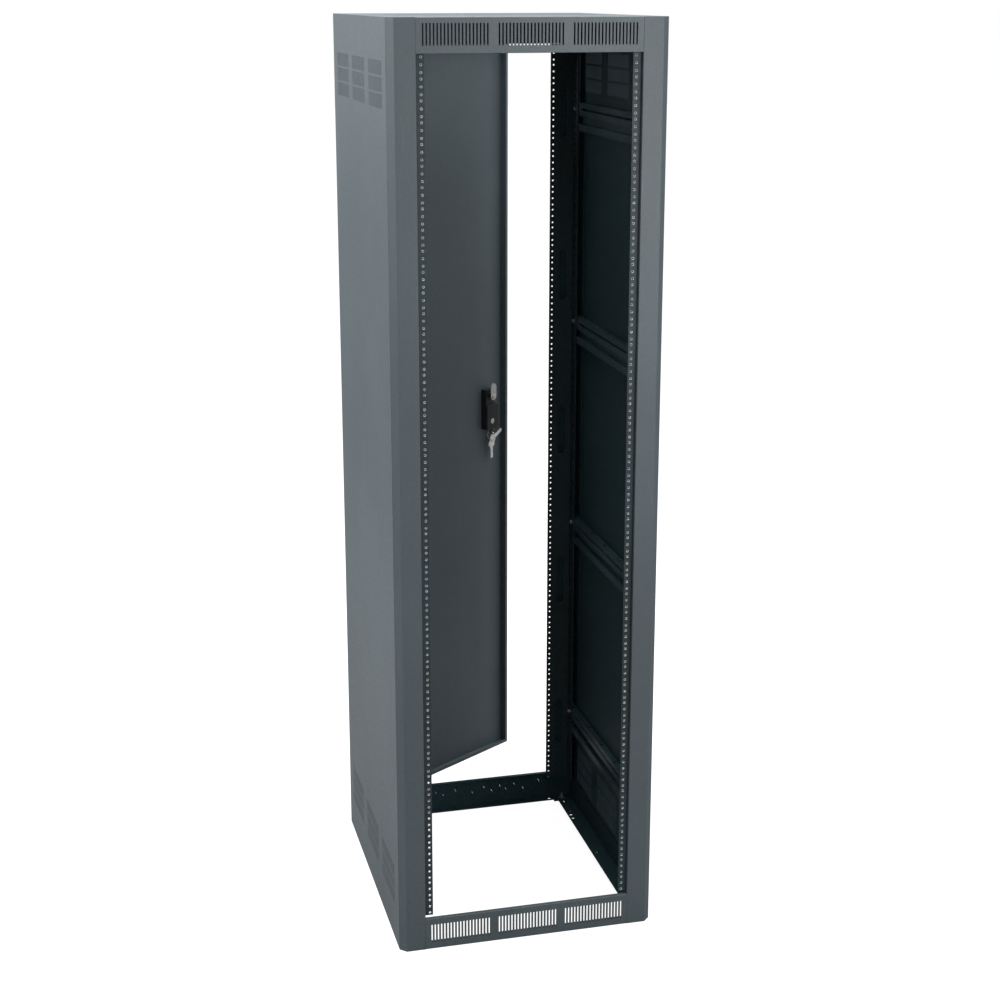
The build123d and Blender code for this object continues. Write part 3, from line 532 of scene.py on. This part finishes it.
class RACK_OT_inner_frame(bpy.types.Operator):
    """Coat the rear posts, the base, the crossmembers and the braces"""

    bl_idname = "rack.inner_frame"
    bl_label = "Inner frame"

    def execute(self, context):
        finishes = context.scene.rack_finishes
        dark, faded = finishes.inner_coat, finishes.inner_fade_and_panel_shade
        coat = coat_material("Black inner coat", dark, faded, 0.50, 0.04, specular=0.2)
        for name in INNER_PIECES:
            finish(name, coat)
        # Painted sheen: the braces take the inner frame's paler colour with still paler patches, standing in for
        # the highlights their edges catch.
        satin = coat_material("Satin brace coat", faded, finishes.brace_painted_sheen, 0.74, 0.12, specular=0.7)
        for level in LEVELS:
            for side in SIDES:
                finish(f"{side}_{level}_brace", satin)
        return {"FINISHED"}


class RACK_OT_rear_door(bpy.types.Operator):
    """Coat the rear door"""

    bl_idname = "rack.rear_door"
    bl_label = "Rear door"

    def execute(self, context):
        finishes = context.scene.rack_finishes
        # Painted light: the door's coat is a paler copy of the charcoal coat, standing in for the light falling on
        # its inner face.
        coat = coat_material("Charcoal door coat", finishes.door_painted_light_coat, finishes.door_painted_light_fade, 0.50, 0.08)
        finish("door_panel", coat)
        return {"FINISHED"}


# ---- rails ------------------------------------------------------------------------------
def thread_profile(radius, thickness, fittings):
    """Half section of one tapped hole: (radius, depth from the rail's face) pairs, closed."""
    crest = radius - fittings.thread_depth
    lip = radius + fittings.lip_width
    height = -fittings.lip_height
    skin = 0.02 * MM
    points = [(radius - skin, thickness), (lip, 0.0), (lip - skin, height), (radius - skin, height)]
    turns = int(thickness / fittings.thread_pitch)
    for turn in range(turns):
        start = turn * fittings.thread_pitch
        points.append((crest, start + fittings.thread_pitch * 0.25))
        points.append((radius - 2 * skin, start + fittings.thread_pitch * 0.75))
    points.append((crest, thickness - skin))
    points.insert(1, (radius - skin, skin))
    return points


def tapped_holes(name, column, fittings, radius):
    """Bare threads and lips for every hole of one rail's column, as one mesh."""
    low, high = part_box(name)
    faces_front = name.endswith("front_rail")
    face = low.y if faces_front else high.y
    inward = 1.0 if faces_front else -1.0
    thickness = RAIL_THICKNESS
    profile = thread_profile(radius, thickness, fittings)
    around = fittings.hole_sides
    ring = [
        (math.cos(math.tau * step / around), math.sin(math.tau * step / around)) for step in range(around)
    ]
    vertices, faces = [], []
    units = round((high.z - low.z) / UNIT_PITCH)
    for unit in range(units):
        for rise in UNIT_HOLE_RISES:
            centre = low.z + unit * UNIT_PITCH + rise
            base = len(vertices)
            for r, depth in profile:
                y = face + inward * depth
                vertices.extend((column + r * c, y, centre + r * s) for c, s in ring)
            count = len(profile)
            for row in range(count):
                above = (row + 1) % count
                for step in range(around):
                    beside = (step + 1) % around
                    quad = (
                        base + row * around + step,
                        base + row * around + beside,
                        base + above * around + beside,
                        base + above * around + step,
                    )
                    faces.append(quad if faces_front else quad[::-1])
    mesh = bpy.data.meshes.new(f"{name}_threads")
    mesh.from_pydata(vertices, [], faces)
    mesh.update()
    return mesh


class RACK_OT_rails(bpy.types.Operator):
    """Coat the rails, and line their tapped holes with bare threads"""

    bl_idname = "rack.rails"
    bl_label = "Equipment rails"

    def execute(self, context):
        finishes = context.scene.rack_finishes
        fittings = context.scene.rack_fittings
        dark, faded = finishes.rail_coat, finishes.inner_coat
        coat = coat_material("Satin rail coat", dark, faded, 0.50, 0.03, specular=0.3)
        # Bare threads and lips, plated near-white and mostly diffuse as a painted glint of the tapped holes.
        bare = metal_material("Bare thread zinc", finishes.bare_zinc_and_glint, 0.50, metallic=0.35)
        dims = mount("front_unit_1")["dims"]
        column = dims["spacing_x_mm"] * MM / 2
        radius = dims["hole_r_mm"] * MM
        for name in RAILS:
            finish(name, coat)
            side = -1 if name.startswith("left") else 1
            mesh = tapped_holes(name, side * column, fittings, radius)
            add_piece(f"{name}_threads", mesh, bare, "cabinet")
        return {"FINISHED"}


# ---- fasteners and hinges ---------------------------------------------------------------
class RACK_OT_fasteners(bpy.types.Operator):
    """Plate the screws, the nuts and the ground stud"""

    bl_idname = "rack.fasteners"
    bl_label = "Fasteners"

    def execute(self, context):
        zinc = metal_material("Clear zinc fasteners", context.scene.rack_finishes.zinc, 0.26)
        for name in FASTENERS:
            soften(finish(name, zinc), 0.5 * MM)
        return {"FINISHED"}


class RACK_OT_hinges(bpy.types.Operator):
    """Plate the hinge brackets, pins, guide and spring, and finish the bushings"""

    bl_idname = "rack.hinges"
    bl_label = "Hinge hardware"

    def execute(self, context):
        finishes = context.scene.rack_finishes
        zinc = metal_material("Dulled zinc hinges", finishes.dull_zinc, 0.38)
        nylon = moulded_material("Nylon bushing", finishes.nylon, 0.45)
        for name in HINGE_METAL:
            finish(name, zinc)
        for name in BUSHINGS:
            finish(name, nylon)
        return {"FINISHED"}


# ---- latch and keys ---------------------------------------------------------------------
class RACK_OT_latch(bpy.types.Operator):
    """Finish the latch housing, the handle, the cam and the lock"""

    bl_idname = "rack.latch"
    bl_label = "Latch"

    def execute(self, context):
        finishes = context.scene.rack_finishes
        moulding = moulded_material("Black latch moulding", finishes.moulding, 0.66)
        cam_zinc = metal_material("Zinc cam steel", finishes.dull_zinc, 0.36)
        nickel = metal_material("Nickel lock", finishes.nickel, 0.16)
        finish("latch_housing", moulding)
        soften(finish("latch_handle", moulding), 1.2 * MM, 3)
        soften(finish("latch_cam", cam_zinc), 0.4 * MM)
        finish("lock_cylinder", nickel)
        return {"FINISHED"}


def key_outline(length, bow):
    """Outline of a flat key along +X from the ring, and its hole, as lists of points."""
    radius = bow / 2
    centre = 9.2 * MM
    half_blade = 5.0 * MM
    shoulder = math.asin(half_blade / radius)
    steps = 40
    outline = []
    for step in range(steps + 1):
        angle = shoulder + (math.tau - 2 * shoulder) * step / steps
        squash = 1.0 - 0.10 * abs(math.sin(2 * angle))
        outline.append((centre + radius * squash * math.cos(angle), radius * squash * math.sin(angle)))
    collar = centre + radius + 1.5 * MM
    outline.append((collar, -half_blade))
    outline.append((length - 3.0 * MM, -half_blade))
    outline.append((length, -1.0 * MM))
    outline.append((length, 1.0 * MM))
    outline.append((length - 2.0 * MM, half_blade - 0.8 * MM))
    cuts = (1.2, 2.4, 0.9, 2.0, 1.5)
    pitch = (length - 2.0 * MM - collar - 4.0 * MM) / len(cuts)
    for number, cut in enumerate(cuts):
        start = length - 3.0 * MM - number * pitch
        outline.append((start - pitch * 0.30, half_blade - cut * MM))
        outline.append((start - pitch * 0.62, half_blade - cut * MM))
        outline.append((start - pitch * 0.92, half_blade - 0.2 * MM))
    outline.append((collar, half_blade))
    hole_radius = 2.9 * MM
    hole = []
    for step in range(24):
        angle = -math.tau * step / 24
        hole.append((1.7 * MM + hole_radius * math.cos(angle), hole_radius * math.sin(angle)))
    return outline, hole


def plate_mesh(name, loops, thickness, edge):
    """A flat plate with holes and rounded edges, from closed outlines."""
    curve = bpy.data.curves.new(name, "CURVE")
    curve.dimensions = "2D"
    curve.fill_mode = "BOTH"
    curve.extrude = thickness / 2 - edge
    curve.bevel_depth = edge
    curve.bevel_resolution = 2
    curve.offset = -edge
    for loop in loops:
        spline = curve.splines.new("POLY")
        spline.points.add(len(loop) - 1)
        for point, (x, y) in zip(spline.points, loop):
            point.co = (x, y, 0, 1)
        spline.use_cyclic_u = True
    holder = bpy.data.objects.new(name, curve)
    mesh = bpy.data.meshes.new_from_object(holder)
    bpy.data.objects.remove(holder)
    bpy.data.curves.remove(curve)
    mesh.name = name
    return mesh


def make_key(node_name, body, swing, fittings, nickel):
    """A cut key, in the place of a plain key."""
    low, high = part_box(node_name)
    pivot = Vector(joint(swing)["pos_m"])
    normal = Vector(joint(swing)["axis"]).normalized()
    middle = (low + high) / 2 - pivot
    offset = middle.dot(normal)
    along = (middle - normal * offset).normalized()
    across = normal.cross(along)
    basis = Matrix((along, across, normal)).transposed().to_4x4()
    basis.translation = pivot + normal * offset
    outline, hole = key_outline(fittings.key_length, fittings.key_bow)
    mesh = plate_mesh(f"{node_name}_cut", [outline, hole], fittings.key_thickness, 0.25 * MM)
    mesh.transform(basis)
    key = add_piece(f"{node_name}_cut", mesh, nickel, body, smooth=False)
    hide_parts(node_name)


class RACK_OT_keys(bpy.types.Operator):
    """Make the two cut keys, and plate the key ring"""

    bl_idname = "rack.keys"
    bl_label = "Keys"

    def execute(self, context):
        fittings = context.scene.rack_fittings
        # Nickel plate, made only half metallic so the keys and ring show near-white: a painted reflection.
        nickel = metal_material("Nickel key", context.scene.rack_finishes.nickel, 0.34, metallic=0.55)
        finish("key_ring", nickel)
        make_key("hanging_key", "first_key", "first_key_swing", fittings, nickel)
        make_key("raised_key", "second_key", "second_key_swing", fittings, nickel)
        return {"FINISHED"}


# ---- studio -----------------------------------------------------------------------------
def softbox(name, place, target, width, height, power):
    """A large soft light that faces a point."""
    lamp = bpy.data.lights.new(name, "AREA")
    lamp.shape = "RECTANGLE"
    lamp.size = width
    lamp.size_y = height
    lamp.energy = power
    holder = bpy.data.objects.new(name, lamp)
    bpy.context.scene.collection.objects.link(holder)
    holder.visible_camera = False
    holder.location = place
    holder.rotation_euler = (Vector(target) - Vector(place)).to_track_quat("-Z", "Y").to_euler()


class RACK_OT_studio(bpy.types.Operator):
    """Make the pale floor, the soft lights and the camera"""

    bl_idname = "rack.studio"
    bl_label = "Studio"

    def execute(self, context):
        scene = context.scene
        studio = scene.rack_studio
        half = studio.floor_width / 2
        mesh = bpy.data.meshes.new("studio_floor")
        corners = [(-half, -half, 0), (half, -half, 0), (half, half, 0), (-half, half, 0)]
        mesh.from_pydata([(x, y, -0.5 * MM) for x, y, _ in corners], [], [(0, 1, 2, 3)])
        mesh.materials.append(floor_material())
        floor = bpy.data.objects.new("studio_floor", mesh)
        scene.collection.objects.link(floor)
        world = bpy.data.worlds.new("Studio surround")
        world.use_nodes = True
        tree = world.node_tree
        seen = add(tree, "ShaderNodeLightPath").outputs["Is Camera Ray"]
        strength = spread(tree, seen, 0.0, 1.0, studio.sky, 1.0)
        feed(tree, tree.nodes["Background"].inputs["Color"], (1.0, 1.0, 1.0))
        feed(tree, tree.nodes["Background"].inputs["Strength"], strength)
        scene.world = world
        scene.view_settings.view_transform = "Standard"
        for name, place, target, width, height, power in SOFTBOXES:
            softbox(name, place, target, width, height, getattr(studio, power))
        camera = bpy.data.objects.new("camera", bpy.data.cameras.new("camera"))
        scene.collection.objects.link(camera)
        camera.data.lens = studio.lens
        camera.data.sensor_width = 36
        camera.data.shift_y = CAMERA_RISE
        camera.location = CAMERA_PLACE
        camera.rotation_euler = (math.radians(90 - CAMERA_DIP), 0, math.radians(-CAMERA_TURN))
        scene.camera = camera
        return {"FINISHED"}


STEPS = (
    RACK_OT_front_frame,
    RACK_OT_side_panels,
    RACK_OT_inner_frame,
    RACK_OT_rear_door,
    RACK_OT_rails,
    RACK_OT_fasteners,
    RACK_OT_hinges,
    RACK_OT_latch,
    RACK_OT_keys,
    RACK_OT_studio,
)


class RACK_PT_sidebar(bpy.types.Panel):
    """Lists the cabinet's steps and settings"""

    bl_idname = "RACK_PT_sidebar"
    bl_label = "Equipment rack"
    bl_space_type = "VIEW_3D"
    bl_region_type = "UI"
    bl_category = "Rack"

    def draw(self, context):
        for step in STEPS:
            self.layout.operator(step.bl_idname)
        for group in (context.scene.rack_finishes, context.scene.rack_fittings, context.scene.rack_studio):
            box = self.layout.box()
            for key in group.__annotations__:
                box.prop(group, key)


SETTINGS = {
    "rack_finishes": RackFinishes,
    "rack_fittings": RackFittings,
    "rack_studio": RackStudio,
}
CLASSES = (*SETTINGS.values(), *STEPS, RACK_PT_sidebar)


def register():
    for item in CLASSES:
        bpy.utils.register_class(item)
    for name, group in SETTINGS.items():
        setattr(bpy.types.Scene, name, PointerProperty(type=group))


def unregister():
    for name in SETTINGS:
        delattr(bpy.types.Scene, name)
    for item in reversed(CLASSES):
        bpy.utils.unregister_class(item)


def main():
    register()
    for step in STEPS:
        group, name = step.bl_idname.split(".")
        getattr(getattr(bpy.ops, group), name)()


if __name__ == "__main__":
    main()
